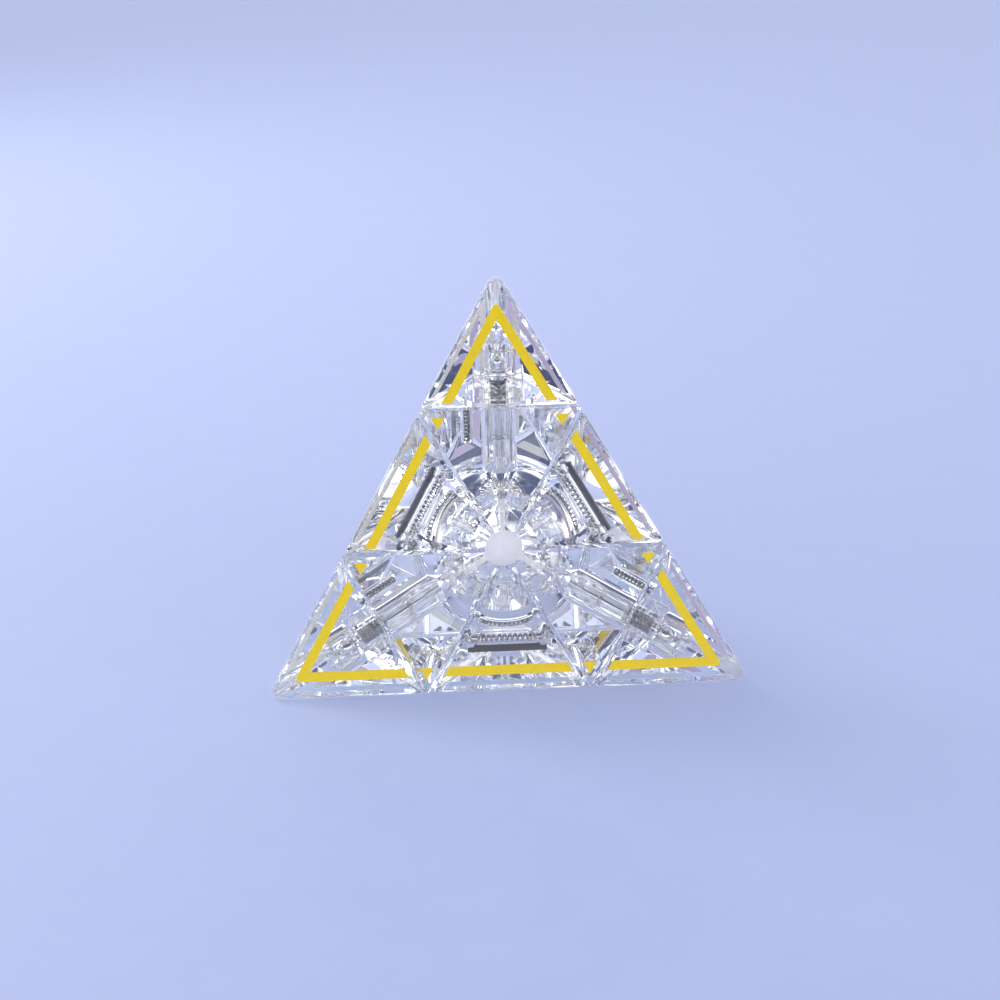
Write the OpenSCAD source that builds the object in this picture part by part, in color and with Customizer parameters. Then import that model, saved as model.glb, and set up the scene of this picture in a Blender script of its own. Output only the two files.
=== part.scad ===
// Four-axis pyramid twisty puzzle in clear plastic, standing on one face.
// The origin is the centre of the core, where the four turning axes cross. +Z runs up
// through the top corner and the front face looks towards -Y.

/* [Pyramid] */
// Length of each of the pyramid's six edges
edge_len = 98; // [90:1:110]
// Gap between two pieces that slide on each other
gap = 0.3; // [0.2:0.05:0.5]
// Width of the bevel along a piece's outer borders
bevel = 0.7; // [0.3:0.1:1.2]
// How far the pyramid's ridges are cut back
ridge_cut = 0.8; // [0.4:0.1:1.5]
// How far the pyramid's points are cut back
point_cut = 2.4; // [1:0.1:4]
// Plastic between the ends of an edge's barrel and the cuts
end_wall = 1.6; // [1.2:0.1:2]
// Radius of the opening where six pieces meet at the middle of a face
opening_r = 4; // [2:0.1:4]

/* [Core and corner stack] */
// Radius of the core's ball
core_r = 8.3; // [7:0.1:8.6]
// Inner radius of the shell in which the edges' feet run
foot_in_r = 9.2; // [9:0.1:10]
// Outer radius of that shell, and of the hollow under the axials
foot_out_r = 17.5; // [16.5:0.1:18]
// Radius of a screw's shank
screw_r = 1.25; // [1:0.05:1.3]
// Radius of a screw's domed head
head_r = 2.4; // [2.2:0.05:2.6]
// Outer radius of the post around a screw's head
post_r = 4.6; // [4.2:0.1:4.7]
// Outer radius of a tension spring
tension_r = 2.7; // [2.4:0.1:2.8]
// Wire radius of a tension spring
tension_wire_r = 0.28; // [0.2:0.02:0.35]

/* [Detents] */
// Radius of every detent ball
ball_r = 1.2; // [1:0.05:1.3]
// How far a ball's centre lies behind the cut that it clicks on
ball_sink = 0.7; // [0.6:0.05:0.9]
// Distance of a tip's detent ball from the corner's axis
tip_ball_at = 7.6; // [7:0.1:7.7]
// Distance of an edge's tunnel from the core's centre
tunnel_at = 22; // [21.5:0.1:23]
// Outer radius of a detent spring
coil_r = 1.1; // [0.9:0.05:1.15]
// Wire radius of a detent spring
coil_wire_r = 0.18; // [0.14:0.01:0.2]

/* [Hidden] */

$fn = 48;

// Angles of a regular tetrahedron
FACE_TILT = acos(1 / 3);              // a face's normal from the axis of a corner on it
AXIS_TILT = 180 - FACE_TILT;          // between the axes of two corners
EDGE_TILT = acos(1 / sqrt(3));        // a face's or a corner's axis from an edge's axis

// Distances from the centre
face_d = edge_len / (2 * sqrt(6));    // to a face
vertex_d = 3 * face_d;                // to a point
ridge_d = face_d * sqrt(3);           // to the middle of an edge
tip_d = vertex_d * 5 / 9;             // to the cut under a tip
layer_d = vertex_d / 9;               // to the cut under a layer
half_gap = gap / 2;
huge = 4 * edge_len;

// A corner's stack along its own axis
arm_top = 14.4;
arm_r = 2.9;
knob_r = 2.0;
knob_at = 10.6;
column_from = arm_top + half_gap;
column_r = 3.5;
cup_from = 24;
cup_r = tension_r - 0.05;
cup_pocket_r = tension_r + 0.05;
column_top = tip_d - half_gap;
spring_seat = column_top - 2.7;
spring_pocket_r = tension_r + 0.3;
spring_top = tip_d + 3.5;
bore_r = screw_r + 0.15;
flange_r = 5.9;
washer_from = spring_top + 1.6;
washer_t = 0.5;
head_from = washer_from + washer_t;
head_h = 2.8;
head_dome_r = 2.6;
recess_w = 0.5;
recess_deep = 1;
screw_from = 6;
screw_hole_from = 5;
chamber_r = 3.3;
post_top = 43.4;
dome_at = 43.6;
fit = 0.05;
screw_fit = 0.02;

// A tip's detent, beside the screw
tunnel_r = ball_r + 0.1;
tip_ball_z = tip_d - ball_sink;
tip_tunnel_floor = 24.6;
track_r = ball_r + 0.15;
track_w = 2;
dimple_deep = 0.3;

// An edge's detents: the balls run on a circle about each of the two corners' axes
ball_x = (tunnel_at * cos(EDGE_TILT) - layer_d - ball_sink) / sin(EDGE_TILT);
barrel_r = 2.1;
edge_track_z = layer_d + ball_sink;
edge_track_r = sqrt(tunnel_at * tunnel_at + ball_x * ball_x - edge_track_z * edge_track_z);

// The hollow for the feet, and the inner part of an edge
shell_in_r = foot_out_r + half_gap;
edge_seat_r = 20.3;
neck_from_r = foot_out_r - 2;
foot_spread_r = 11.5;
blind_r = 1.05;
blind_end = 15;

// The straight steel bar in an edge
bar_l = 16;
bar_t = 0.8;
bar_from = 24.3;

// Azimuths in a corner's own frame: the faces beside it, and the ridges that leave it
FACES = [0, 120, 240];
RIDGES = [60, 180, 300];

// Corner frames: the local +Z is the corner's axis, outwards
TOP = [0, 0, 30];
LEFT = [0, AXIS_TILT, 210];
RIGHT = [0, AXIS_TILT, 330];
BACK = [0, AXIS_TILT, 90];

clear = [0.86, 0.89, 0.97, 0.45];
frosted = [0.72, 0.70, 0.84];
steel = [0.75, 0.76, 0.78];
dark_steel = [0.28, 0.28, 0.32];

// ---- Half-spaces -------------------------------------------------------------------

// Everything on the near side of a plane whose normal leans polar from +Z towards azimuth
module behind(polar, azimuth, distance) {
    rotate([0, polar, azimuth])
        translate([-huge / 2, -huge / 2, distance - huge])
            cube(huge);
}

// Everything behind such planes at every azimuth in a list
module behind_each(polar, azimuths, distance) {
    intersection_for (a = azimuths)
        behind(polar, a, distance);
}

// The openings at the middles of a corner's three faces
module corner_openings() {
    for (a = FACES)
        rotate([0, FACE_TILT, a])
            cylinder(r = opening_r, h = 2 * face_d);
}

// ---- The outlines of the three kinds of piece --------------------------------------

// The cone of a corner's three faces, moved in by inset
module corner_faces(inset) {
    behind_each(FACE_TILT, FACES, face_d - inset);
}

// The wedge between an edge's two faces, moved in by inset
module edge_faces(inset) {
    behind_each(EDGE_TILT, [90, 270], face_d - inset);
}

// A tip in its corner's frame
module tip_outline() {
    border = (face_d - tip_d - half_gap) / (2 * cos(EDGE_TILT));
    intersection() {
        corner_faces(0);
        behind(0, 0, vertex_d - point_cut);
        behind(180, 0, -(tip_d + half_gap));
        behind_each(EDGE_TILT, RIDGES, ridge_d - ridge_cut);
        behind_each(90 + FACE_TILT / 2, FACES, border - bevel);
    }
}

// What an axial may fill between the cuts of the layers, moved in by inset
module axial_cuts(inset) {
    behind_each(AXIS_TILT, RIDGES, layer_d - half_gap - inset);
}

// An axial in its corner's frame, without the hollow for the feet
module axial_outline() {
    top_border = (face_d + tip_d - half_gap) / (2 * cos(FACE_TILT / 2));
    side_border = (face_d + layer_d - half_gap) / (2 * cos(FACE_TILT / 2));
    intersection() {
        corner_faces(0);
        axial_cuts(0);
        behind(0, 0, tip_d - half_gap);
        behind(180, 0, -(layer_d + half_gap));
        behind_each(EDGE_TILT, RIDGES, ridge_d - ridge_cut);
        behind_each(FACE_TILT / 2, FACES, top_border - bevel);
        behind_each(90, [30 : 60 : 330], side_border - bevel);
    }
}

// What an edge may fill between its two layers' cuts, moved in by inset
module edge_cuts(inset) {
    behind_each(180 - EDGE_TILT, [0, 180], -(layer_d + half_gap + inset));
}

// An edge piece in its own frame, where +Z is the edge's axis and X runs along the edge
module edge_outline() {
    border = (face_d - layer_d - half_gap) / (2 * cos(EDGE_TILT));
    intersection() {
        edge_faces(0);
        edge_cuts(0);
        behind(0, 0, ridge_d - ridge_cut);
        behind_each(90, [45 : 90 : 315], border - bevel);
    }
}

// The wedge that an edge's foot may fill inside the axials' hollow
module foot_wedge() {
    intersection() {
        behind_each(180 - EDGE_TILT, [0 : 90 : 270], -half_gap);
        cylinder(r = foot_spread_r, h = foot_out_r);
    }
}

// ---- Springs -----------------------------------------------------------------------

// A closed coil of round wire along +Z from 0 to h, as one tube of flat facets
module coil(outer_r, wire_r, h, turns) {
    sides = 5;
    steps = 10 * turns;
    mean_r = outer_r - wire_r;
    rise = (h - 2 * wire_r) / steps;
    points = [
        for (i = [0 : steps], k = [0 : sides - 1])
            let (turn = 36 * i, side = 360 * k / sides, out = mean_r + wire_r * cos(side))
                [out * cos(turn), out * sin(turn), wire_r + rise * i + wire_r * sin(side)]
    ];
    around = [
        for (i = [0 : steps - 1], k = [0 : sides - 1], half = [0, 1])
            let (here = i * sides + k, next = i * sides + (k + 1) % sides)
                half == 0 ? [here, next, here + sides] : [here + sides, next, next + sides]
    ];
    first_end = [for (k = [sides - 1 : -1 : 0]) k];
    last_end = [for (k = [0 : sides - 1]) steps * sides + k];
    polyhedron(points, concat(around, [first_end], [last_end]), convexity = 8);
}

// ---- Core and the four corner stacks -----------------------------------------------

module at_corners() {
    for (frame = [TOP, LEFT, RIGHT, BACK])
        rotate(frame)
            children();
}

// The ball with four arms that end in six-sided knobs, drilled for the screws
module core() {
    color(frosted)
        difference() {
            union() {
                sphere(r = core_r);
                at_corners() {
                    cylinder(r = arm_r, h = knob_at);
                    cylinder(r = knob_r, h = arm_top, $fn = 6);
                }
            }
            at_corners()
                translate([0, 0, screw_hole_from])
                    cylinder(r = screw_r + screw_fit, h = arm_top);
        }
}

// Four screws: a shank in the core's arm and a domed head with a cross recess
module screws() {
    color(steel)
        at_corners()
            difference() {
                union() {
                    translate([0, 0, screw_from])
                        cylinder(r = screw_r, h = head_from + head_h / 4 - screw_from);
                    intersection() {
                        translate([0, 0, head_from])
                            cylinder(r = head_r, h = head_h);
                        translate([0, 0, head_from + head_h - head_dome_r])
                            sphere(r = head_dome_r);
                    }
                }
                for (a = [0, 90])
                    rotate([0, 0, a])
                        translate([-screw_r, -recess_w / 2, head_from + head_h - recess_deep])
                            cube([2 * screw_r, recess_w, head_h]);
            }
}

// Four flat washers under the screws' heads
module washers() {
    color(steel)
        at_corners()
            translate([0, 0, washer_from])
                difference() {
                    cylinder(r = head_r + 0.3, h = washer_t);
                    translate([0, 0, -1])
                        cylinder(r = bore_r, h = washer_t + 2);
                }
}

// Four springs, each between an axial and the base of its tip
module tension_springs() {
    color(dark_steel)
        at_corners()
            translate([0, 0, spring_seat + fit])
                coil(tension_r, tension_wire_r, spring_top - spring_seat - 2 * fit, 6);
}

// Four clear cups, one in each axial's column, on which the tension springs stand
module spring_cups() {
    color(clear)
        at_corners()
            translate([0, 0, cup_from + fit])
                difference() {
                    cylinder(r = cup_r, h = spring_seat - cup_from - fit);
                    translate([0, 0, -1])
                        cylinder(r = bore_r, h = spring_seat);
                }
}

// ---- Tips --------------------------------------------------------------------------

// The ring in which a tip's ball runs, deeper where the tip clicks
module tip_track() {
    rotate_extrude()
        translate([tip_ball_at - track_w / 2, tip_ball_z])
            square([track_w, track_r]);
    for (a = RIDGES)
        rotate([0, 0, a])
            translate([tip_ball_at, 0, tip_ball_z + dimple_deep])
                sphere(r = track_r);
}

// The cap of a tip, with a domed socket for the base's flange and post
module tip_cap() {
    socket_r = post_r + fit;
    color(clear)
        difference() {
            tip_outline();
            translate([0, 0, tip_d - 1])
                cylinder(r = flange_r + fit, h = washer_from - tip_d + 1 + fit, $fn = 6);
            translate([0, 0, tip_d - 1])
                cylinder(r = socket_r, h = dome_at - tip_d + 1);
            translate([0, 0, dome_at])
                sphere(r = socket_r);
            tip_track();
        }
}

// The base of a tip: a six-sided flange and the post round the screw's head
module tip_base() {
    color(clear)
        difference() {
            translate([0, 0, tip_d + half_gap]) {
                cylinder(r = flange_r, h = washer_from - tip_d - half_gap, $fn = 6);
                cylinder(r = post_r, h = post_top - tip_d - half_gap);
            }
            translate([0, 0, tip_d - 1])
                cylinder(r = spring_pocket_r, h = spring_top - tip_d + 1);
            cylinder(r = bore_r, h = post_top);
            translate([0, 0, washer_from])
                cylinder(r = chamber_r, h = post_top);
        }
}

// ---- Axials ------------------------------------------------------------------------

// The rings in which the neighbouring layers' edge balls run, deeper where they click
module edge_tracks() {
    for (a = RIDGES)
        rotate([0, AXIS_TILT, a]) {
            rotate_extrude()
                translate([edge_track_r - track_w / 2, edge_track_z - track_r])
                    square([track_w, track_r]);
            rotate([0, 0, 180])
                translate([edge_track_r, 0, edge_track_z - dimple_deep])
                    sphere(r = track_r);
        }
}

// A solid axial, bored for its column and for the tip's detent
module axial_body() {
    color(clear)
        difference() {
            axial_outline();
            rotate([0, 0, 180])
                sphere(r = shell_in_r);
            cylinder(r = column_r + fit, h = vertex_d);
            translate([-tip_ball_at, 0, tip_tunnel_floor])
                cylinder(r = tunnel_r, h = vertex_d);
            edge_tracks();
            corner_openings();
        }
}

// The tube that lines an axial's bore, with the pocket for the spring's cup
module axial_column() {
    color(clear)
        difference() {
            translate([0, 0, column_from])
                cylinder(r = column_r, h = column_top - column_from);
            translate([0, 0, cup_from])
                cylinder(r = cup_pocket_r, h = column_top);
            cylinder(r = bore_r, h = vertex_d);
        }
}

module tip_detent_spring() {
    color(dark_steel)
        translate([-tip_ball_at, 0, tip_tunnel_floor + fit])
            coil(coil_r, coil_wire_r, tip_ball_z - ball_r - tip_tunnel_floor - 2 * fit, 6);
}

module tip_detent_ball() {
    color(steel)
        translate([-tip_ball_at, 0, tip_ball_z])
            sphere(r = ball_r);
}

// ---- Edges -------------------------------------------------------------------------

// The openings at the middles of an edge's two faces
module edge_openings() {
    for (a = [90, 270])
        rotate([0, EDGE_TILT, a])
            cylinder(r = opening_r, h = 2 * face_d);
}

// The tunnel through an edge for its spring and two balls
module edge_tunnel(r) {
    translate([-edge_len / 2, 0, tunnel_at])
        rotate([0, 90, 0])
            cylinder(r = r, h = edge_len);
}

// The bore of an edge's barrel, of radius r, ending inset behind the two cuts
module barrel_bore(r, inset) {
    intersection() {
        edge_tunnel(r);
        edge_cuts(inset);
    }
}

// The steel bar above an edge's spring, with room to spare around it
module edge_bar(spare) {
    translate([-bar_l / 2 - spare, -bar_t / 2 - spare, bar_from - spare])
        cube([bar_l + 2 * spare, bar_t + 2 * spare, bar_t + 2 * spare]);
}

// The solid outer block of an edge
module edge_block() {
    color(clear)
        difference() {
            edge_outline();
            sphere(r = edge_seat_r);
            edge_tunnel(tunnel_r);
            barrel_bore(barrel_r + fit, end_wall);
            edge_bar(fit / 2);
            edge_openings();
        }
}

// The inner part of an edge: the foot under the axials, the neck, and the spring's barrel
module edge_foot() {
    color(clear)
        difference() {
            union() {
                difference() {
                    intersection() {
                        sphere(r = foot_out_r - half_gap);
                        foot_wedge();
                    }
                    sphere(r = foot_in_r);
                }
                difference() {
                    intersection() {
                        edge_outline();
                        sphere(r = edge_seat_r - fit);
                        behind_each(180 - EDGE_TILT, [90, 270], -half_gap);
                    }
                    sphere(r = neck_from_r);
                }
                barrel_bore(barrel_r, end_wall + fit);
            }
            edge_tunnel(tunnel_r);
            cylinder(r = blind_r, h = blind_end);
            edge_openings();
        }
}

// An edge's spring between its two balls, and the steel bar above it
module edge_spring() {
    reach = ball_x - ball_r - fit;
    color(dark_steel)
        translate([-reach, 0, tunnel_at])
            rotate([0, 90, 0])
                coil(coil_r, coil_wire_r, 2 * reach, 7);
    color(steel)
        edge_bar(0);
}

module edge_ball(side) {
    color(steel)
        translate([side * ball_x, 0, tunnel_at])
            sphere(r = ball_r);
}

// ---- Corners in place --------------------------------------------------------------

module corner(name, frame) {
    rotate(frame) {
        tip_cap();
        tip_base();
        axial_body();
        axial_column();
        tip_detent_spring();
        tip_detent_ball();
    }
}

// An edge whose axis leans tilt towards azimuth, after a spin that lays X along the edge
module edge(name, spin, tilt, azimuth) {
    rotate([0, tilt, azimuth])
        rotate([0, 0, spin]) {
            edge_block();
            edge_foot();
            edge_spring();
            edge_ball(1);
            edge_ball(-1);
        }
}

core();
screws();
washers();
tension_springs();
spring_cups();
corner("top", TOP);
corner("left", LEFT);
corner("right", RIGHT);
corner("back", BACK);
edge("top_left", 0, EDGE_TILT, 210);
edge("top_right", 0, EDGE_TILT, 330);
edge("top_back", 0, EDGE_TILT, 90);
edge("left_right", 90, 180 - EDGE_TILT, 270);
edge("right_back", 90, 180 - EDGE_TILT, 30);
edge("back_left", 90, 180 - EDGE_TILT, 150);
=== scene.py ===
"""Clear plastic pyramid puzzle: four tips, four axials and six edges round a sprung core.

Lengths are in metres. The pyramid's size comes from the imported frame's box: the origin
is the core's centre, so the base lies one face distance below it.
"""

import math
from itertools import combinations

import bmesh
import bpy
from mathutils import Matrix, Vector


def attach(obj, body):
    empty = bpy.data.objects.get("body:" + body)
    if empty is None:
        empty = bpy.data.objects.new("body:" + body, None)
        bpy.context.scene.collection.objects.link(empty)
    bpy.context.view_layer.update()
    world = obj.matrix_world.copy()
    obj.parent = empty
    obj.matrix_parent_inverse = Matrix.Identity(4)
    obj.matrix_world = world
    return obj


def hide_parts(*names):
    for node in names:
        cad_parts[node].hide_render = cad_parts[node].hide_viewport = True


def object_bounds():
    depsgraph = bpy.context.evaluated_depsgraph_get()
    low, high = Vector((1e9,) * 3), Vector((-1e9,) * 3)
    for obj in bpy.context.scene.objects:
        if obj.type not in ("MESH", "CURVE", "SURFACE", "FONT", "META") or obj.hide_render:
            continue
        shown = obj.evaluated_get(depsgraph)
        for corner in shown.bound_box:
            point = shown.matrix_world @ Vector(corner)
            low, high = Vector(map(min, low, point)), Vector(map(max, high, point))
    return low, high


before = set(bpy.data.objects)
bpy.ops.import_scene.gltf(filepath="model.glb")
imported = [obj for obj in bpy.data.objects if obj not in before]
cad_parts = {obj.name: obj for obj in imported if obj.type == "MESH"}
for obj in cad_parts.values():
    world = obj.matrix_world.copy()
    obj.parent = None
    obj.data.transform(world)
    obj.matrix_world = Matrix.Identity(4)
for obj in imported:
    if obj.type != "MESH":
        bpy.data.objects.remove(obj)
cad_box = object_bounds()

MM = 0.001
CORNERS = ("top", "left", "right", "back")

# ---- The pyramid's own distances and angles --------------------------------------------

FACE_D = -cad_box[0].z
EDGE_LEN = FACE_D * 2 * math.sqrt(6)
VERTEX_D = 3 * FACE_D
RIDGE_D = FACE_D * math.sqrt(3)
TIP_D = VERTEX_D * 5 / 9
LAYER_D = VERTEX_D / 9
HALF_GAP = 0.15 * MM
FIT = 0.05 * MM

FACE_TILT = math.degrees(math.acos(1 / 3))
AXIS_TILT = 180 - FACE_TILT
EDGE_TILT = math.degrees(math.acos(1 / math.sqrt(3)))
FACES = (0, 120, 240)
RIDGES = (60, 180, 300)

CORNER_TURN = {
    "top": (0, 30),
    "left": (AXIS_TILT, 210),
    "right": (AXIS_TILT, 330),
    "back": (AXIS_TILT, 90),
}
EDGE_TURN = {
    "top_left": (0, EDGE_TILT, 210),
    "top_right": (0, EDGE_TILT, 330),
    "top_back": (0, EDGE_TILT, 90),
    "left_right": (90, 180 - EDGE_TILT, 270),
    "right_back": (90, 180 - EDGE_TILT, 30),
    "back_left": (90, 180 - EDGE_TILT, 150),
}


def turned(spin, tilt, azimuth):
    """The frame whose +Z leans tilt towards azimuth, after a spin about its own axis, in degrees."""
    return (
        Matrix.Rotation(math.radians(azimuth), 4, "Z")
        @ Matrix.Rotation(math.radians(tilt), 4, "Y")
        @ Matrix.Rotation(math.radians(spin), 4, "Z")
    )


CORNER_FRAME = {name: turned(0, *turn) for name, turn in CORNER_TURN.items()}
EDGE_FRAME = {name: turned(*turn) for name, turn in EDGE_TURN.items()}


def direction(tilt, azimuth):
    return turned(0, tilt, azimuth) @ Vector((0, 0, 1))


# ---- Mesh tools ------------------------------------------------------------------------


def new_mesh(bm, name="part"):
    bmesh.ops.recalc_face_normals(bm, faces=bm.faces)
    mesh = bpy.data.meshes.new(name)
    bm.to_mesh(mesh)
    bm.free()
    return mesh


def convex(planes, round_by=0.0, segments=6):
    """The closed solid behind every (normal, distance) plane, with its edges rounded."""
    points = []
    for (n1, d1), (n2, d2), (n3, d3) in combinations(planes, 3):
        rows = Matrix((n1, n2, n3))
        if abs(rows.determinant()) < 1e-6:
            continue
        p = rows.inverted() @ Vector((d1, d2, d3))
        if all(n.dot(p) <= d + 1e-8 for n, d in planes):
            points.append(p)
    bm = bmesh.new()
    for p in points:
        bm.verts.new(p)
    bmesh.ops.remove_doubles(bm, verts=bm.verts, dist=1e-6)
    hull = bmesh.ops.convex_hull(bm, input=bm.verts)
    bmesh.ops.delete(bm, geom=list({*hull["geom_interior"], *hull["geom_unused"]}), context="VERTS")
    bmesh.ops.dissolve_limit(bm, angle_limit=math.radians(0.5), verts=bm.verts, edges=bm.edges)
    if round_by:
        bmesh.ops.bevel(
            bm, geom=bm.edges[:], offset=round_by, segments=segments, profile=0.5,
            affect="EDGES", clamp_overlap=True,
        )
    return new_mesh(bm)


def lathe(profile, steps=64):
    """A closed profile of (radius, height) points turned about Z. Points on the axis close it there."""
    bm = bmesh.new()
    rings = []
    for r, z in profile:
        if r < 1e-9:
            rings.append([bm.verts.new((0, 0, z))])
            continue
        rings.append([
            bm.verts.new((r * math.cos(a), r * math.sin(a), z))
            for a in (2 * math.pi * k / steps for k in range(steps))
        ])
    for a, b in zip(rings, rings[1:] + rings[:1]):
        if len(a) == 1 and len(b) == 1:
            continue
        for k in range(steps):
            nxt = (k + 1) % steps
            corners = [a[k % len(a)], a[nxt % len(a)], b[nxt % len(b)], b[k % len(b)]]
            bm.faces.new(list(dict.fromkeys(corners)))
    return new_mesh(bm)


def softened(profile, radius, arc=4):
    """The profile with each corner off the axis rounded by a short arc."""
    out = []
    count = len(profile)
    for i, (r, z) in enumerate(profile):
        here = Vector((r, z))
        before, after = Vector(profile[i - 1]), Vector(profile[(i + 1) % count])
        if r < 1e-9:
            out.append((r, z))
            continue
        reach = min(radius, (before - here).length * 0.45, (after - here).length * 0.45)
        start = here + (before - here).normalized() * reach
        end = here + (after - here).normalized() * reach
        for k in range(arc + 1):
            t = k / arc
            p = start * (1 - t) ** 2 + here * 2 * t * (1 - t) + end * t**2
            out.append((max(p.x, 0.0), p.y))
    return out


def tube(r_in, r_out, z0, z1, soft=0.12 * MM):
    return lathe(softened([(r_in, z0), (r_out, z0), (r_out, z1), (r_in, z1)], soft))


def rod(r, z0, z1, steps=64):
    return lathe([(0, z0), (r, z0), (r, z1), (0, z1)], steps)


def plug(r, z0, z1, soft=0.3 * MM, steps=64):
    """A rod with softened rims."""
    return lathe(softened([(0, z0), (r, z0), (r, z1), (0, z1)], soft), steps)


def ball(r, centre=(0, 0, 0), steps=96):
    half = steps // 2
    profile = [
        (abs(r * math.sin(math.pi * k / half)) if 0 < k < half else 0.0, -r * math.cos(math.pi * k / half))
        for k in range(half + 1)
    ]
    mesh = lathe(profile, steps)
    mesh.transform(Matrix.Translation(Vector(centre)))
    return mesh


def ring_track(at, z0, z1, steps=128):
    """The flat-floored ring in which a ball runs at that distance from the axis."""
    half = TRACK_W / 2
    return lathe([(at - half, z0), (at + half, z0), (at + half, z1), (at - half, z1)], steps)


def moved(mesh, matrix):
    copy = mesh.copy()
    copy.transform(matrix)
    return copy


def combined(first, others, how):
    """first joined with, cut by or kept within each of the other meshes."""
    scene = bpy.context.scene
    base = bpy.data.objects.new("work", first)
    scene.collection.objects.link(base)
    tools = []
    for other in others:
        tool = bpy.data.objects.new("tool", other)
        scene.collection.objects.link(tool)
        tools.append(tool)
        step = base.modifiers.new("step", "BOOLEAN")
        step.operation = how
        step.solver = "MANIFOLD"
        step.object = tool
    bpy.context.view_layer.update()
    graph = bpy.context.evaluated_depsgraph_get()
    result = bpy.data.meshes.new_from_object(base.evaluated_get(graph))
    for o in [base, *tools]:
        bpy.data.objects.remove(o)
    return result


def joined(first, *others):
    return combined(first, others, "UNION")


def cut(first, *others):
    return combined(first, others, "DIFFERENCE")


def within(first, *others):
    return combined(first, others, "INTERSECT")


def shade(mesh, sharp_deg=28):
    """Smooth faces with creases where they meet at more than sharp_deg."""
    bm = bmesh.new()
    bm.from_mesh(mesh)
    bmesh.ops.remove_doubles(bm, verts=bm.verts, dist=1e-7)
    limit = math.radians(sharp_deg)
    for f in bm.faces:
        f.smooth = True
    for e in bm.edges:
        e.smooth = len(e.link_faces) == 2 and e.calc_face_angle(0) < limit
    bm.to_mesh(mesh)
    bm.free()
    return mesh


def place(name, mesh, matrix, body, material, replaces=()):
    """One piece of the puzzle, put in place in its mesh, on its body and with its finish."""
    data = mesh.copy()
    data.name = name
    data.transform(matrix)
    data.materials.clear()
    data.materials.append(material)
    piece = bpy.data.objects.new(name, data)
    bpy.context.scene.collection.objects.link(piece)
    normals = piece.modifiers.new("normals", "WEIGHTED_NORMAL")
    normals.keep_sharp = True
    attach(piece, body)
    if replaces:
        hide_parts(*replaces)


# ---- Materials -------------------------------------------------------------------------


def material(name):
    """A new material with its node tree and its Principled shader."""
    m = bpy.data.materials.new(name)
    m.use_nodes = True
    return m, m.node_tree, m.node_tree.nodes["Principled BSDF"]


def noise(tree, scale, detail, roughness=0.5):
    place_at = tree.nodes.new("ShaderNodeTexCoord")
    n = tree.nodes.new("ShaderNodeTexNoise")
    n.inputs["Scale"].default_value = scale
    n.inputs["Detail"].default_value = detail
    n.inputs["Roughness"].default_value = roughness
    tree.links.new(place_at.outputs["Object"], n.inputs["Vector"])
    return n


def ranged(tree, source, low, high):
    """source's 0 to 1 spread over low to high."""
    span = tree.nodes.new("ShaderNodeMapRange")
    span.inputs["From Min"].default_value = 0.3
    span.inputs["From Max"].default_value = 0.7
    span.inputs["To Min"].default_value = low
    span.inputs["To Max"].default_value = high
    tree.links.new(source, span.inputs["Value"])
    return span.outputs["Result"]


def bumped(tree, shader, height, strength, distance):
    bump = tree.nodes.new("ShaderNodeBump")
    bump.inputs["Strength"].default_value = strength
    bump.inputs["Distance"].default_value = distance
    tree.links.new(height, bump.inputs["Height"])
    tree.links.new(bump.outputs["Normal"], shader.inputs["Normal"])


def mixed_colour(tree, factor, first, second):
    ramp = tree.nodes.new("ShaderNodeValToRGB")
    ramp.color_ramp.elements[0].position = 0.35
    ramp.color_ramp.elements[0].color = (*first, 1)
    ramp.color_ramp.elements[1].position = 0.65
    ramp.color_ramp.elements[1].color = (*second, 1)
    tree.links.new(factor, ramp.inputs["Fac"])
    return ramp.outputs["Color"]


def clear_plastic():
    """Moulded clear plastic: polished, with the faint waviness of a moulding."""
    m, tree, shader = material("clear_plastic")
    shader.inputs["Transmission Weight"].default_value = 1.0
    shader.inputs["IOR"].default_value = 1.49
    tint = noise(tree, 25, 2)
    tone = mixed_colour(tree, tint.outputs["Fac"], (0.992, 0.996, 1.0), (0.998, 0.999, 1.0))
    tree.links.new(tone, shader.inputs["Base Color"])
    haze = noise(tree, 220, 4)
    tree.links.new(ranged(tree, haze.outputs["Fac"], 0.0, 0.003), shader.inputs["Roughness"])
    flow = noise(tree, 90, 1)
    bumped(tree, shader, flow.outputs["Fac"], 0.02, 0.1 * MM)
    return m


def frosted_plastic_painted_glow():
    """The core's frosted, lavender-grey plastic, with a fine grain and a faint painted glow that lightens
    it though it is no lamp.
    """
    m, tree, shader = material("frosted_plastic_painted_glow")
    grain = noise(tree, 900, 5, 0.6)
    tone = mixed_colour(tree, grain.outputs["Fac"], (0.80, 0.79, 0.92), (0.88, 0.87, 0.97))
    tree.links.new(tone, shader.inputs["Base Color"])
    # The grain's tone also glows: a painted glow that lightens the core.
    tree.links.new(tone, shader.inputs["Emission Color"])
    shader.inputs["Emission Strength"].default_value = 0.5
    shader.inputs["IOR"].default_value = 1.49
    tree.links.new(ranged(tree, grain.outputs["Fac"], 0.38, 0.55), shader.inputs["Roughness"])
    bumped(tree, shader, grain.outputs["Fac"], 0.25, 0.05 * MM)
    return m


def metal(name, dark, light, rough_low, rough_high, scale, bump):
    m, tree, shader = material(name)
    shader.inputs["Metallic"].default_value = 1.0
    grain = noise(tree, scale, 6, 0.65)
    tree.links.new(mixed_colour(tree, grain.outputs["Fac"], dark, light), shader.inputs["Base Color"])
    tree.links.new(ranged(tree, grain.outputs["Fac"], rough_low, rough_high), shader.inputs["Roughness"])
    bumped(tree, shader, grain.outputs["Fac"], bump, 0.03 * MM)
    return m


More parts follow.
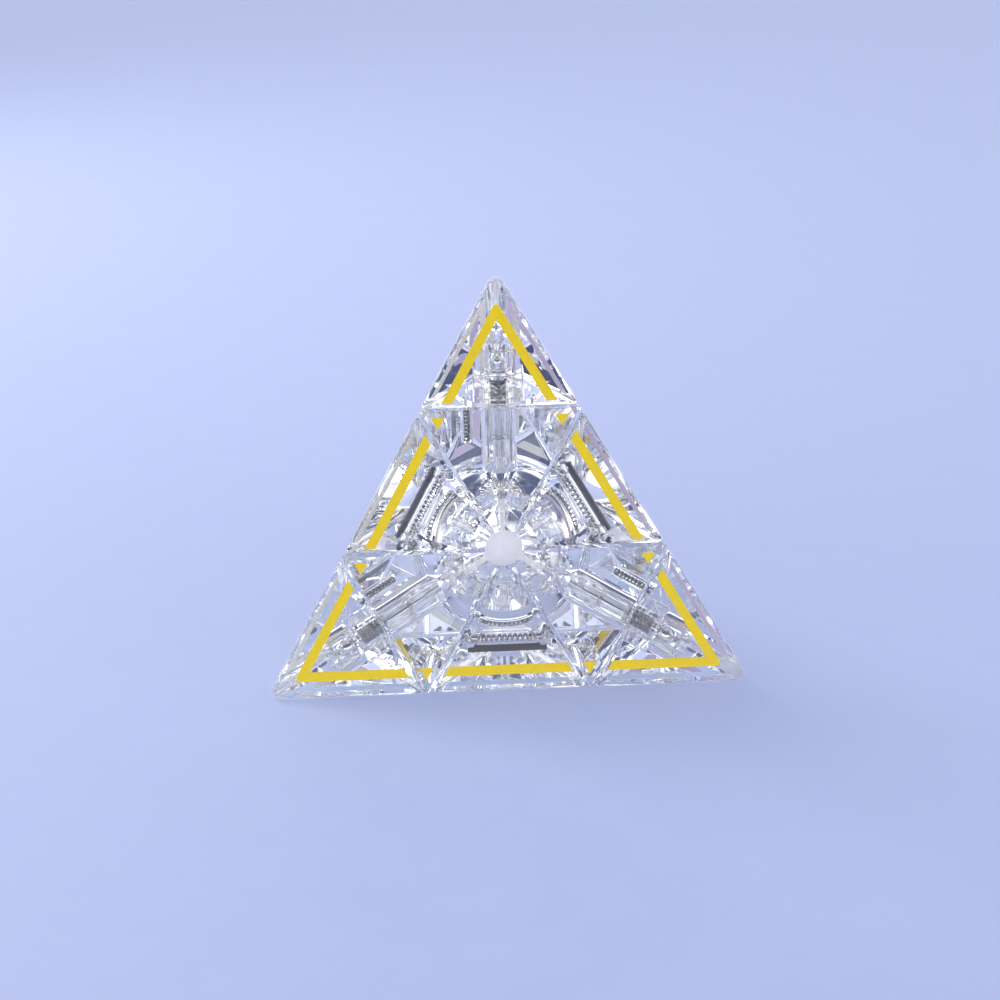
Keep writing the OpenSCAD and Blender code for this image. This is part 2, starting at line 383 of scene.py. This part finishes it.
def ink(name, dark, light, glow):
    """A pad-printed ink film, slightly uneven in gloss, with a fine tooth.

    Its faint glow stands in for the stronger light on the photographed puzzle.
    """
    m, tree, shader = material(name)
    tooth = noise(tree, 700, 4)
    tone = mixed_colour(tree, tooth.outputs["Fac"], dark, light)
    tree.links.new(tone, shader.inputs["Base Color"])
    tree.links.new(tone, shader.inputs["Emission Color"])
    shader.inputs["Emission Strength"].default_value = glow
    tree.links.new(ranged(tree, tooth.outputs["Fac"], 0.32, 0.48), shader.inputs["Roughness"])
    bumped(tree, shader, tooth.outputs["Fac"], 0.08, 0.02 * MM)
    return m


CLEAR = clear_plastic()
FROSTED = frosted_plastic_painted_glow()
CHROME = metal("screw_chrome", (0.70, 0.71, 0.73), (0.86, 0.87, 0.89), 0.06, 0.16, 1200, 0.05)
BEARING = metal("bearing_steel", (0.42, 0.43, 0.46), (0.58, 0.59, 0.62), 0.08, 0.16, 1500, 0.03)
SPRING_WIRE = metal("spring_wire", (0.12, 0.12, 0.15), (0.24, 0.24, 0.28), 0.2, 0.34, 2500, 0.1)
BAR_STEEL = metal("bar_steel", (0.05, 0.05, 0.08), (0.09, 0.09, 0.13), 0.16, 0.28, 1800, 0.06)
INKS = {
    "yellow_print": ink("yellow_ink", (0.86, 0.61, 0.0), (0.92, 0.67, 0.0), 0.2),
    "blue_print": ink("blue_ink", (0.42, 0.54, 0.86), (0.48, 0.60, 0.90), 0.45),
    "white_print": ink("white_ink", (0.78, 0.79, 0.81), (0.86, 0.87, 0.89), 0.3),
    "violet_print": ink("violet_ink", (0.60, 0.52, 0.80), (0.68, 0.60, 0.86), 0.3),
}

# ---- Sizes of the pieces ---------------------------------------------------------------

CORE_R = 8.3 * MM
FOOT_IN_R = 9.2 * MM
FOOT_OUT_R = 17.5 * MM
ROOT_R = 3.7 * MM
ROOT_END_R, ROOT_END = 3.6 * MM, 8.2 * MM
ARM_R, ARM_FROM = 2.9 * MM, 9.0 * MM
ARM_TOP = 14.4 * MM
SHOULDER_R = 1.8 * MM
KNOB_AT = 10.6 * MM
KNOB_R = 2.0 * MM
COLUMN_FROM = ARM_TOP + HALF_GAP
COLUMN_R = 3.5 * MM
CUP_FROM = 24 * MM
CUP_R = 2.65 * MM
CUP_POCKET_R = 2.75 * MM
BORE_R = 1.4 * MM
SCREW_R, SCREW_FROM = 1.25 * MM, 6 * MM
THREAD_DEEP, THREAD_PITCH, THREAD_END = 0.18 * MM, 0.45 * MM, 20 * MM
THREAD_PLAY, HOLE_FROM = 0.02 * MM, 5 * MM
HEAD_R = 2.4 * MM
COLUMN_TOP = TIP_D - HALF_GAP
SPRING_SEAT = COLUMN_TOP - 2.7 * MM
SPRING_TOP = TIP_D + 3.5 * MM
POCKET_R = 3.0 * MM
WASHER_FROM = SPRING_TOP + 1.6 * MM
WASHER_T = 0.5 * MM
WASHER_R = HEAD_R + 0.3 * MM
HEAD_FROM = WASHER_FROM + WASHER_T
HEAD_H = 2.8 * MM
HEAD_DOME_R = 2.6 * MM
SLOT_REACH, SLOT_W = 1.25 * MM, 0.44 * MM
CHAMBER_R = 3.3 * MM
POST_R = 4.6 * MM
POST_TOP = 43.4 * MM
DOME_AT = 43.6 * MM
FLANGE_R = 5.9 * MM
HEX = math.cos(math.radians(30))
BALL_R = 1.2 * MM
BALL_SINK = 0.7 * MM
TRACK_R = BALL_R + 0.15 * MM
TRACK_W = 2 * MM
DIMPLE_DEEP = 0.3 * MM
TUNNEL_R = BALL_R + 0.1 * MM
TIP_BALL_AT = 7.6 * MM
TIP_BALL_Z = TIP_D - BALL_SINK
TIP_TUNNEL_FLOOR = 24.6 * MM
TUNNEL_AT = 22 * MM
LEAN = math.radians(EDGE_TILT)
BALL_X = (TUNNEL_AT * math.cos(LEAN) - LAYER_D - BALL_SINK) / math.sin(LEAN)
EDGE_TRACK_Z = LAYER_D + BALL_SINK
EDGE_TRACK_R = math.sqrt(TUNNEL_AT**2 + BALL_X**2 - EDGE_TRACK_Z**2)
EDGE_SEAT_R = 20.3 * MM
BARREL_R = 2.1 * MM
END_WALL = 1.6 * MM
FOOT_SPREAD_R = 11.5 * MM
INSIDE_FOOT_R = FOOT_OUT_R - 2 * MM
BLIND_R, BLIND_END = 1.05 * MM, 15 * MM
COIL_R, COIL_WIRE_R = 1.1 * MM, 0.17 * MM
TENSION_R, TENSION_WIRE_R = 2.7 * MM, 0.28 * MM
BAR_L, BAR_T, BAR_FROM = 16 * MM, 0.8 * MM, 24.3 * MM
OPENING_R = 4 * MM
POINT_CUT = 2.4 * MM
OUTER_ROUND = 1.0 * MM
FAR = 4 * EDGE_LEN

# ---- Clear mouldings -------------------------------------------------------------------


def corner_faces():
    return [(direction(FACE_TILT, a), FACE_D) for a in FACES]


def axial_cuts():
    return [(direction(AXIS_TILT, a), LAYER_D - HALF_GAP) for a in RIDGES]


def edge_faces():
    return [(direction(EDGE_TILT, a), FACE_D) for a in (90, 270)]


def edge_cuts(inset=0.0):
    return [(direction(180 - EDGE_TILT, a), -(LAYER_D + HALF_GAP + inset)) for a in (0, 180)]


def above(z):
    return (Vector((0, 0, -1)), -z)


def below(z):
    return (Vector((0, 0, 1)), z)


def tip_tracks():
    """The ring in which a tip's ball runs, and the dimples where the tip clicks."""
    dimple = ball(TRACK_R, (TIP_BALL_AT, 0, TIP_BALL_Z + DIMPLE_DEEP), 32)
    dimples = [moved(dimple, turned(0, 0, a)) for a in RIDGES]
    return [ring_track(TIP_BALL_AT, TIP_BALL_Z, TIP_BALL_Z + TRACK_R), *dimples]


def hexagon(r, z0, z1, round_by):
    """A six-sided prism along Z whose corners lie r from it."""
    sides = [(direction(90, 60 * k + 30), r * HEX) for k in range(6)]
    return convex([*sides, above(z0), below(z1)], round_by, 3)


def tip_cap():
    """The solid cap, with the domed socket for the base's flange and post."""
    outer = convex([*corner_faces(), above(TIP_D + HALF_GAP), below(VERTEX_D - POINT_CUT)], OUTER_ROUND)
    r = POST_R + FIT
    arc = [(r * math.cos(a), DOME_AT + r * math.sin(a)) for a in (math.pi / 2 * k / 16 for k in range(16))]
    socket = lathe([(0, TIP_D - MM), (r, TIP_D - MM), *arc, (0, DOME_AT + r)])
    seat = hexagon(FLANGE_R + FIT / HEX, TIP_D - MM, WASHER_FROM + FIT, 0.4 * MM)
    return shade(cut(outer, seat, socket, *tip_tracks()))


def tip_base():
    """The six-sided flange under a tip and the post round the screw's head."""
    foot = TIP_D + HALF_GAP
    flange = hexagon(FLANGE_R, foot, WASHER_FROM, 0.4 * MM)
    post = plug(POST_R, foot + MM, POST_TOP)
    pocket = plug(POCKET_R, TIP_D - MM, SPRING_TOP)
    chamber = plug(CHAMBER_R, WASHER_FROM, POST_TOP + MM)
    return shade(cut(joined(flange, post), pocket, chamber, rod(BORE_R, TIP_D, WASHER_FROM + MM)))


def edge_ball_tracks():
    """The rings in which the neighbouring layers' balls run, and the dimples where they click."""
    out = []
    for a in RIDGES:
        about = turned(0, AXIS_TILT, a)
        out.append(moved(ring_track(EDGE_TRACK_R, EDGE_TRACK_Z - TRACK_R, EDGE_TRACK_Z), about))
        dimple = ball(TRACK_R, (-EDGE_TRACK_R, 0, EDGE_TRACK_Z - DIMPLE_DEEP), 32)
        out.append(moved(dimple, about))
    return out


def face_openings(tilt, azimuths):
    return [moved(rod(OPENING_R, 0, 2 * FACE_D, 96), turned(0, tilt, a)) for a in azimuths]


def axial_body():
    """The solid axial, bored for its column and for the tip's detent."""
    ends = [above(LAYER_D + HALF_GAP), below(TIP_D - HALF_GAP)]
    outer = convex([*corner_faces(), *axial_cuts(), *ends], OUTER_ROUND)
    shift = Matrix.Translation((-TIP_BALL_AT, 0, 0))
    bore = rod(COLUMN_R + FIT, INSIDE_FOOT_R, TIP_D)
    tunnel = moved(rod(TUNNEL_R, TIP_TUNNEL_FLOOR, TIP_D), shift)
    openings = face_openings(FACE_TILT, FACES)
    return shade(cut(outer, ball(FOOT_OUT_R + HALF_GAP), bore, tunnel, *edge_ball_tracks(), *openings))


def axial_column():
    """The tube that lines an axial's bore, with the pocket for the spring's cup."""
    body = plug(COLUMN_R, COLUMN_FROM, COLUMN_TOP, 0.4 * MM)
    pocket = plug(CUP_POCKET_R, CUP_FROM, TIP_D)
    return shade(cut(body, pocket, rod(BORE_R, COLUMN_FROM - MM, CUP_FROM + MM)))


def along_edge(mesh):
    """Lays a part made along Z in an edge's tunnel."""
    return moved(mesh, Matrix.Translation((0, 0, TUNNEL_AT)) @ Matrix.Rotation(math.radians(90), 4, "Y"))


def edge_bar():
    """The straight steel bar moulded in above an edge's spring."""
    sides = [(Vector((sign, 0, 0)), BAR_L / 2) for sign in (1, -1)]
    sides += [(Vector((0, sign, 0)), BAR_T / 2) for sign in (1, -1)]
    return shade(convex([*sides, above(BAR_FROM), below(BAR_FROM + BAR_T)], 0.1 * MM, 3))


def barrel(r, inset):
    """The barrel in an edge, ending inset behind the two cuts."""
    sides = [(Vector((0, sign, 0)), FAR) for sign in (1, -1)]
    ends = convex([*edge_cuts(inset), *sides, above(LAYER_D), below(RIDGE_D)])
    return within(along_edge(rod(r, -EDGE_LEN / 4, EDGE_LEN / 4)), ends)


def edge_block():
    """The solid outer block of an edge."""
    outer = convex([*edge_faces(), *edge_cuts()], OUTER_ROUND)
    tunnel = along_edge(rod(TUNNEL_R, -EDGE_LEN / 2, EDGE_LEN / 2))
    socket = barrel(BARREL_R + FIT, END_WALL)
    return shade(cut(outer, ball(EDGE_SEAT_R), tunnel, socket, *face_openings(EDGE_TILT, (90, 270))))


def edge_foot():
    """The inner part of an edge: the foot under the axials, the neck and the spring's barrel."""
    wedge_sides = [(direction(180 - EDGE_TILT, a), -HALF_GAP) for a in (0, 90, 180, 270)]
    wedge = convex([*wedge_sides, below(FOOT_OUT_R + MM)], 1.2 * MM)
    foot = within(wedge, ball(FOOT_OUT_R - HALF_GAP), rod(FOOT_SPREAD_R, 0, 2 * FOOT_OUT_R))
    foot = cut(foot, ball(FOOT_IN_R))
    neck = convex([*edge_faces(), *edge_cuts(), wedge_sides[1], wedge_sides[3]], 0.6 * MM)
    neck = cut(within(neck, ball(EDGE_SEAT_R - FIT)), ball(INSIDE_FOOT_R))
    body = joined(foot, neck, barrel(BARREL_R, END_WALL + FIT))
    tunnel = along_edge(rod(TUNNEL_R, -EDGE_LEN / 2, EDGE_LEN / 2))
    blind = plug(BLIND_R, 0, BLIND_END, 0.2 * MM, 48)
    return shade(cut(body, tunnel, blind, *face_openings(EDGE_TILT, (90, 270))))


# ---- Core, screws, washers, springs and balls ------------------------------------------


def core():
    """The frosted ball with four stepped, drilled arms that end in six-sided knobs."""
    body = ball(CORE_R)
    shoulder = KNOB_AT + 0.4 * MM
    arm = lathe(softened([
        (0, 0), (ROOT_R, 0), (ROOT_END_R, ROOT_END), (ARM_R, ARM_FROM), (ARM_R, KNOB_AT),
        (SHOULDER_R, shoulder), (0, shoulder),
    ], 0.35 * MM))
    knob = hexagon(KNOB_R, KNOB_AT - MM, ARM_TOP, 0.2 * MM)
    for name in CORNERS:
        body = joined(body, moved(arm, CORNER_FRAME[name]), moved(knob, CORNER_FRAME[name]))
    hole = rod(SCREW_R + THREAD_PLAY, HOLE_FROM, 2 * ARM_TOP, 48)
    return shade(cut(body, *[moved(hole, CORNER_FRAME[name]) for name in CORNERS]))


def threaded(r, depth, pitch, z0, z1, smooth_from):
    """A shank along Z whose surface is a screw thread below smooth_from and plain above it."""
    around, rise = 24, pitch / 8
    rings = int((z1 - z0) / rise)
    bm = bmesh.new()
    grid = []
    for i in range(rings + 1):
        z = z0 + (z1 - z0) * i / rings
        row = []
        for k in range(around):
            phase = (z / pitch - k / around) % 1.0
            groove = depth * (abs(phase - 0.5) * 2) if z < smooth_from else 0.0
            a = 2 * math.pi * k / around
            row.append(bm.verts.new(((r - groove) * math.cos(a), (r - groove) * math.sin(a), z)))
        grid.append(row)
    for low, high in zip(grid, grid[1:]):
        for k in range(around):
            bm.faces.new((low[k], low[(k + 1) % around], high[(k + 1) % around], high[k]))
    bm.faces.new(grid[0][::-1])
    bm.faces.new(grid[-1])
    return new_mesh(bm)


def screw():
    """A domed head with a cross recess on a threaded shank."""
    shank = threaded(SCREW_R, THREAD_DEEP, THREAD_PITCH, SCREW_FROM, HEAD_FROM + 0.3 * MM, THREAD_END)
    top = HEAD_FROM + HEAD_H
    rim = math.asin(HEAD_R / HEAD_DOME_R)
    centre = top - HEAD_DOME_R
    arc = [
        (HEAD_DOME_R * math.sin(rim * (1 - k / 14)), centre + HEAD_DOME_R * math.cos(rim * (1 - k / 14)))
        for k in range(14)
    ]
    chamfer = 0.1 * MM
    foot = [(0, HEAD_FROM), (HEAD_R - chamfer, HEAD_FROM), (HEAD_R, HEAD_FROM + chamfer)]
    head = lathe([*foot, *arc, (0, top)])
    sides = [(Vector((sign, 0, 0)), SLOT_REACH) for sign in (1, -1)]
    sides += [(Vector((0, sign, 0)), SLOT_W / 2) for sign in (1, -1)]
    blade = convex([*sides, above(top - MM), below(top + MM)], 0.08 * MM, 2)
    slots = [moved(blade, turned(0, 0, turn)) for turn in (0, 90)]
    return shade(joined(cut(head, *slots), shank), 40)


def coil(outer_r, wire_r, z0, z1, turns, sides=10, per_turn=28):
    """A compression spring along Z whose end turns lie closed and flat."""
    mean_r = outer_r - wire_r
    steps = int(turns * per_turn)
    closed = 2 * wire_r * 1.02
    low, high = z0 + wire_r, z1 - wire_r
    open_turns = turns - 2
    pitch = (high - low - 2 * closed) / open_turns

    def height(t):
        if t < 1:
            return low + closed * t
        if t > turns - 1:
            return high - closed * (turns - t)
        return low + closed + pitch * (t - 1)

    bm = bmesh.new()
    rings = []
    for i in range(steps + 1):
        t = turns * i / steps
        a = 2 * math.pi * t
        out = Vector((math.cos(a), math.sin(a), 0))
        centre = out * mean_r + Vector((0, 0, height(t)))
        rings.append([
            bm.verts.new(centre + out * (wire_r * math.cos(b)) + Vector((0, 0, wire_r * math.sin(b))))
            for b in (2 * math.pi * k / sides for k in range(sides))
        ])
    for a_ring, b_ring in zip(rings, rings[1:]):
        for k in range(sides):
            bm.faces.new((a_ring[k], a_ring[(k + 1) % sides], b_ring[(k + 1) % sides], b_ring[k]))
    bm.faces.new(rings[0][::-1])
    bm.faces.new(rings[-1])
    return shade(new_mesh(bm), 50)


# ---- Printed marks ---------------------------------------------------------------------

PRINT_IN = 3.5 * MM
PRINT_W = 1.9 * MM
PRINT_CLEAR = 1.25 * MM
TRIANGLE_FROM, TRIANGLE_TO = 3.0 * MM, 5.35 * MM
TIP_ROUND, END_ROUND = 1.6 * MM, 0.2 * MM
PRINT_PROUD = 0.02 * MM
PRINT_SUNK = 0.08 * MM


def eased(corners, radii):
    """The outline with each corner rounded by its own radius."""
    out = []
    for i, here in enumerate(corners):
        before, after = corners[i - 1], corners[(i + 1) % len(corners)]
        start = here + (before - here).normalized() * radii[i]
        end = here + (after - here).normalized() * radii[i]
        for t in (0, 0.2, 0.4, 0.6, 0.8, 1):
            out.append(start * (1 - t) ** 2 + here * 2 * t * (1 - t) + end * t**2)
    return out


def film(corners, face):
    """A flat ink film over face coordinates, sunk in the face but for PRINT_PROUD."""
    top = [face @ Vector((x, y, PRINT_PROUD)) for x, y in corners]
    bottom = [face @ Vector((x, y, -PRINT_SUNK)) for x, y in corners]
    bm = bmesh.new()
    upper = [bm.verts.new(p) for p in top]
    lower = [bm.verts.new(p) for p in bottom]
    bm.faces.new(upper)
    bm.faces.new(lower[::-1])
    count = len(corners)
    for k in range(count):
        bm.faces.new((upper[k], lower[k], lower[(k + 1) % count], upper[(k + 1) % count]))
    return new_mesh(bm)


def crossing(line_a, line_b):
    """Where two lines (normal, distance) in a face's plane cross."""
    rows = Matrix((line_a[0], line_b[0]))
    return rows.inverted() @ Vector((line_a[1], line_b[1]))


FACE_IN_R = EDGE_LEN / (2 * math.sqrt(3))


def outer_line(k, inset):
    """The k-th outer side of a face, moved in by inset. Side k lies opposite corner k."""
    a = math.radians(90 + 120 * k + 180)
    return (Vector((math.cos(a), math.sin(a))), FACE_IN_R - inset)


def seam_line(k, towards_tip, margin):
    """The cut across corner k of a face, moved by margin towards or away from its tip."""
    a = math.radians(90 + 120 * k)
    shift = margin if towards_tip else -margin
    return (Vector((math.cos(a), math.sin(a))), FACE_IN_R + shift)


def layer_line(k, margin):
    """The layer cut of corner k through the face's middle, moved by margin towards that corner."""
    a = math.radians(90 + 120 * k)
    return (Vector((math.cos(a), math.sin(a))), margin)


def tip_mark(k):
    """The V on tip k: two bars along its outer sides, cut off parallel to its lower side."""
    one, two = (k + 1) % 3, (k + 2) % 3
    end = seam_line(k, True, PRINT_CLEAR)
    inner = PRINT_IN + PRINT_W
    corners = [
        crossing(outer_line(one, PRINT_IN), outer_line(two, PRINT_IN)),
        crossing(outer_line(one, PRINT_IN), end),
        crossing(outer_line(one, inner), end),
        crossing(outer_line(one, inner), outer_line(two, inner)),
        crossing(outer_line(two, inner), end),
        crossing(outer_line(two, PRINT_IN), end),
    ]
    return eased(corners, [TIP_ROUND, END_ROUND, END_ROUND, 0.3 * MM, END_ROUND, END_ROUND])


def edge_mark(k):
    """The bar on the edge opposite corner k, with its ends cut along the edge's own sides."""
    one, two = (k + 1) % 3, (k + 2) % 3
    inner = PRINT_IN + PRINT_W
    start, end = layer_line(one, PRINT_CLEAR), layer_line(two, PRINT_CLEAR)
    corners = [
        crossing(outer_line(k, PRINT_IN), start),
        crossing(outer_line(k, PRINT_IN), end),
        crossing(outer_line(k, inner), end),
        crossing(outer_line(k, inner), start),
    ]
    return eased(corners, [END_ROUND] * 4)


def axial_marks(k):
    """The two small triangles at the outer corners of axial k."""
    out = []
    for side in ((k + 1) % 3, (k + 2) % 3):
        other = 3 - k - side
        point = crossing(seam_line(k, False, 0), layer_line(other, 0))
        inward = -outer_line(side, 0)[0]
        across = Vector((-inward.y, inward.x))
        near = point + inward * TRIANGLE_FROM
        far = point + inward * TRIANGLE_TO
        half = (far - near).length * math.tan(math.radians(30))
        out.append(eased([near, far + across * half, far - across * half], [END_ROUND] * 3))
    return out


# A face is named after the corner that it lies opposite; its own corners follow clockwise
# from the one that points up in its frame, seen from outside.
FACE_PRINTS = {"back": "yellow_print", "top": "blue_print", "right": "white_print", "left": "violet_print"}


def face_frame(opposite, first):
    """The frame on a face with +Z outwards and +Y towards its first corner."""
    outward = -(CORNER_FRAME[opposite] @ Vector((0, 0, 1)))
    towards = CORNER_FRAME[first] @ Vector((0, 0, 1))
    up = (towards - outward * towards.dot(outward)).normalized()
    right = up.cross(outward)
    rows = Matrix((right, up, outward)).transposed().to_4x4()
    return Matrix.Translation(outward * FACE_D) @ rows


def corner_order(opposite, first, face):
    """The face's corners as k = 0, 1, 2, a third of a turn apart in the face's frame."""
    order = [first]
    for k in (1, 2):
        a = math.radians(90 + 120 * k)
        want = (face.to_3x3() @ Vector((math.cos(a), math.sin(a), 0))).normalized()
        rest = [c for c in CORNERS if c not in (opposite, first)]
        order.append(max(rest, key=lambda c: want.dot(CORNER_FRAME[c] @ Vector((0, 0, 1)))))
    return order


def edge_name(a, b):
    return next(n for n in EDGE_TURN if set(n.split("_")) == {a, b})


def print_face(opposite, ink_slot):
    """Every mark on one face, each riding on the body that it is printed on."""
    first = "top" if opposite != "top" else "back"
    face = face_frame(opposite, first)
    order = corner_order(opposite, first, face)
    still = Matrix.Identity(4)
    colour = ink_slot.split("_")[0]

    def mark(name, outline, body):
        place(f"{colour}_mark_{name}", film(outline, face), still, body, INKS[ink_slot])

    for k, corner in enumerate(order):
        mark(f"tip_{corner}", tip_mark(k), f"tip_{corner}")
        for side, triangle in zip("ab", axial_marks(k)):
            mark(f"axial_{corner}_{side}", triangle, f"axial_{corner}")
        edge = edge_name(order[(k + 1) % 3], order[(k + 2) % 3])
        mark(f"edge_{edge}", edge_mark(k), f"edge_{edge}")


# ---- The puzzle ------------------------------------------------------------------------


def joined_copies(mesh, frames):
    bm = bmesh.new()
    for matrix in frames:
        copy = moved(mesh, matrix)
        bm.from_mesh(copy)
    out = bpy.data.meshes.new("group")
    bm.to_mesh(out)
    bm.free()
    return out


def build_core():
    still = Matrix.Identity(4)
    frames = [CORNER_FRAME[c] for c in CORNERS]
    place("core_hub", core(), still, "core", FROSTED, ["core"])
    screws = joined_copies(screw(), frames)
    place("corner_screws", screws, still, "core", CHROME, ["screws"])
    washer = shade(tube(BORE_R, WASHER_R, WASHER_FROM, WASHER_FROM + WASHER_T))
    washers = joined_copies(washer, frames)
    place("corner_washers", washers, still, "core", CHROME, ["washers"])
    cup = shade(tube(BORE_R, CUP_R, CUP_FROM + FIT, SPRING_SEAT, 0.35 * MM))
    cups = joined_copies(cup, frames)
    place("spring_cups_look", cups, still, "core", CLEAR, ["spring_cups"])
    spring = coil(TENSION_R, TENSION_WIRE_R, SPRING_SEAT + FIT, SPRING_TOP - FIT, 8)
    springs = joined_copies(spring, frames)
    place("corner_springs", springs, still, "core", SPRING_WIRE, ["tension_springs"])


def build_corners():
    spring = coil(COIL_R, COIL_WIRE_R, TIP_TUNNEL_FLOOR + FIT, TIP_BALL_Z - BALL_R - FIT, 9)
    spring = moved(spring, Matrix.Translation((-TIP_BALL_AT, 0, 0)))
    detent = shade(ball(BALL_R, (-TIP_BALL_AT, 0, TIP_BALL_Z), 48))
    parts = {
        "tip_cap": (tip_cap(), "tip", CLEAR, "clear_plastic"),
        "tip_base": (tip_base(), "tip", CLEAR, "clear_plastic"),
        "axial_body": (axial_body(), "axial", CLEAR, "clear_plastic"),
        "axial_column": (axial_column(), "axial", CLEAR, "clear_plastic"),
        "tip_detent_spring": (spring, "axial", SPRING_WIRE, "spring_steel"),
        "tip_detent_ball": (detent, "axial", BEARING, "ball_steel"),
    }
    for corner in CORNERS:
        for node, (mesh, kind, finish, slot) in parts.items():
            name, body = f"{node}_look_{corner}", f"{kind}_{corner}"
            place(name, mesh, CORNER_FRAME[corner], body, finish, [f"{node}_{corner}"])


def build_edges():
    reach = BALL_X - BALL_R - FIT
    spring = coil(COIL_R, COIL_WIRE_R, -reach, reach, 11)
    parts = {
        "edge_block": (edge_block(), CLEAR, "clear_plastic"),
        "edge_foot": (edge_foot(), CLEAR, "clear_plastic"),
        "edge_spring": (along_edge(spring), SPRING_WIRE, "spring_steel"),
        "edge_bar": (edge_bar(), BAR_STEEL, "spring_steel"),
        "edge_ball_a": (shade(ball(BALL_R, (BALL_X, 0, TUNNEL_AT), 48)), BEARING, "ball_steel"),
        "edge_ball_b": (shade(ball(BALL_R, (-BALL_X, 0, TUNNEL_AT), 48)), BEARING, "ball_steel"),
    }
    for edge, matrix in EDGE_FRAME.items():
        for node, (mesh, finish, slot) in parts.items():
            stands_for = [f"edge_spring_{edge}"] if node == "edge_bar" else [f"{node}_{edge}"]
            place(f"{node}_look_{edge}", mesh, matrix, f"edge_{edge}", finish, stands_for)


build_core()
build_corners()
build_edges()
for opposite, ink_slot in FACE_PRINTS.items():
    print_face(opposite, ink_slot)

# ---- Camera, floor and light -----------------------------------------------------------

CAMERA_AZIMUTH, CAMERA_ELEVATION = math.radians(-2.1), math.radians(22)
CAMERA_DISTANCE, CAMERA_ROLL_DEG = 0.350, -1.3
CAMERA_TARGET = Vector((0.0, 0.0, 9.9 * MM))
CAMERA_LENS, SENSOR_WIDTH = 60.3, 36
FLOOR_HALF = 6
WALL_UP_TO, CEILING_FROM = 0.22, 0.45
WALL, CEILING = (0.98, 0.99, 1.0, 1), (0.02, 0.03, 0.08, 1)


def look(position, target, roll_deg=0.0):
    """A turn that points -Z from position at target, rolled about the line of sight."""
    aim = (Vector(target) - Vector(position)).to_track_quat("-Z", "Y").to_matrix().to_4x4()
    return Matrix.Translation(Vector(position)) @ aim @ Matrix.Rotation(math.radians(roll_deg), 4, "Z")


def add_camera():
    data = bpy.data.cameras.new("camera")
    data.lens = CAMERA_LENS
    data.sensor_width = SENSOR_WIDTH
    data.clip_start = 0.01
    data.clip_end = 50
    camera = bpy.data.objects.new("camera", data)
    bpy.context.scene.collection.objects.link(camera)
    flat = math.cos(CAMERA_ELEVATION)
    x, y = math.sin(CAMERA_AZIMUTH) * flat, -math.cos(CAMERA_AZIMUTH) * flat
    back = Vector((x, y, math.sin(CAMERA_ELEVATION)))
    position = CAMERA_TARGET + back * CAMERA_DISTANCE
    camera.matrix_world = look(position, CAMERA_TARGET, CAMERA_ROLL_DEG)
    bpy.context.scene.camera = camera


def add_floor():
    """A plain pale card whose faint glow evens out the light that falls on it."""
    bm = bmesh.new()
    bmesh.ops.create_grid(bm, x_segments=8, y_segments=8, size=FLOOR_HALF)
    floor = bpy.data.objects.new("floor", new_mesh(bm, "floor"))
    floor.location.z = -FACE_D - 0.02 * MM
    bpy.context.scene.collection.objects.link(floor)
    m, tree, shader = material("pale_card")
    fibre = noise(tree, 60, 6, 0.6)
    tone = mixed_colour(tree, fibre.outputs["Fac"], (0.46, 0.51, 0.73), (0.49, 0.54, 0.76))
    tree.links.new(tone, shader.inputs["Base Color"])
    shader.inputs["Emission Color"].default_value = (0.46, 0.53, 0.80, 1)
    shader.inputs["Emission Strength"].default_value = 0.56
    tree.links.new(ranged(tree, fibre.outputs["Fac"], 0.55, 0.7), shader.inputs["Roughness"])
    bumped(tree, shader, fibre.outputs["Fac"], 0.05, 0.2 * MM)
    floor.data.materials.append(m)


def add_world():
    """A soft studio: pale walls all round under a dark navy ceiling."""
    world = bpy.data.worlds.new("studio")
    bpy.context.scene.world = world
    world.use_nodes = True
    tree = world.node_tree
    sky = tree.nodes["Background"]
    where = tree.nodes.new("ShaderNodeTexCoord")
    split = tree.nodes.new("ShaderNodeSeparateXYZ")
    tree.links.new(where.outputs["Generated"], split.inputs["Vector"])
    height = tree.nodes.new("ShaderNodeValToRGB")
    wall, ceiling = height.color_ramp.elements
    wall.position, wall.color = WALL_UP_TO, WALL
    ceiling.position, ceiling.color = CEILING_FROM, CEILING
    tree.links.new(split.outputs["Z"], height.inputs["Fac"])
    tree.links.new(height.outputs["Color"], sky.inputs["Color"])
    sky.inputs["Strength"].default_value = 2.1


def add_softbox(name, position, target, size, power):
    data = bpy.data.lights.new(name, "AREA")
    data.shape = "RECTANGLE"
    data.size, data.size_y = size
    data.energy = power
    light = bpy.data.objects.new(name, data)
    bpy.context.scene.collection.objects.link(light)
    light.matrix_world = look(position, target)


add_camera()
add_floor()
add_world()
add_softbox("key_softbox", (-0.55, 0.45, 0.5), (0, 0, 0), (0.35, 0.35), 2.5)
cycles = bpy.context.scene.cycles
cycles.max_bounces = 32
cycles.transmission_bounces = 32
cycles.glossy_bounces = 12
cycles.transparent_max_bounces = 16
bpy.context.scene.view_settings.view_transform = "Standard"
